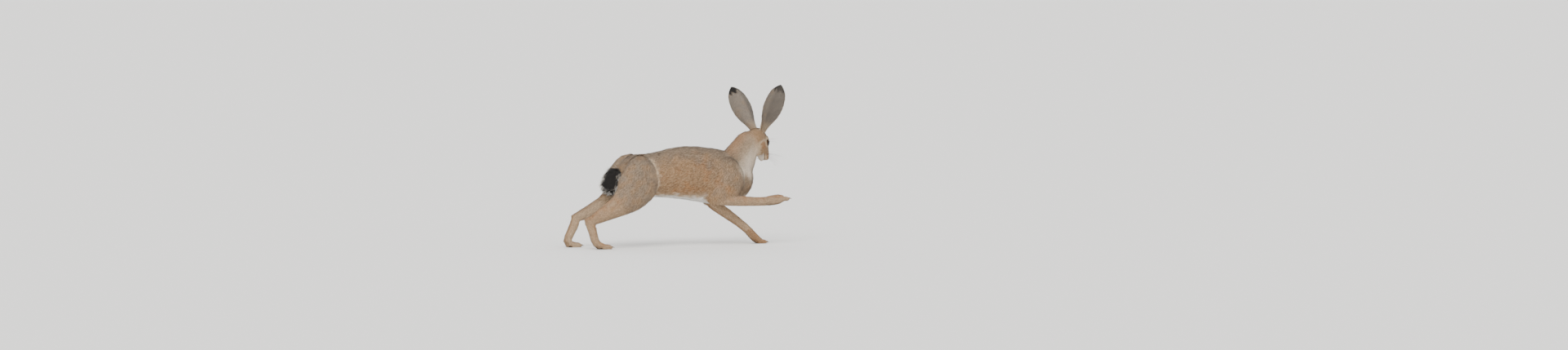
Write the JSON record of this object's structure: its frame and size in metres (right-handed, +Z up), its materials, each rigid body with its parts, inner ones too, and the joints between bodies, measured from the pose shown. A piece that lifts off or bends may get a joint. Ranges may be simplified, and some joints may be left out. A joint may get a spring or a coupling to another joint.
{
  "type": "brown hare",
  "caption": "Life-size still brown hare at full gallop, ears raised, head turned, standing on both hind feet and one forefoot.",
  "frame": {"origin": "middle of the bounding box, on the floor under the hare", "axes": "+X the way the body faces, from rump to chest; +Y the hare's left; +Z up"},
  "size_m": [0.6692, 0.1792, 0.4654],
  "materials": {
    "fur": "short brindled fur, matt",
    "nose": "bare damp skin, satin",
    "eye": "wet and glossy",
    "claw": "horn, satin"
  },
  "bodies": {
    "root": {"torso_rump": "fur", "torso_loin": "fur", "torso_chest": "fur", "neck": "fur", "head": "fur", "ear_left": "fur", "ear_right": "fur", "eye_left": "eye", "eye_right": "eye", "foreleg_left_upper": "fur", "foreleg_left_forearm": "fur", "foreleg_left_paw": "fur", "foreleg_right_upper": "fur", "foreleg_right_forearm": "fur", "foreleg_right_paw": "fur", "hindleg_left_thigh": "fur", "hindleg_left_shank": "fur", "hindleg_left_foot": "fur", "hindleg_right_thigh": "fur", "hindleg_right_shank": "fur", "hindleg_right_foot": "fur", "tail": "fur"}
  },
  "joints": []
}
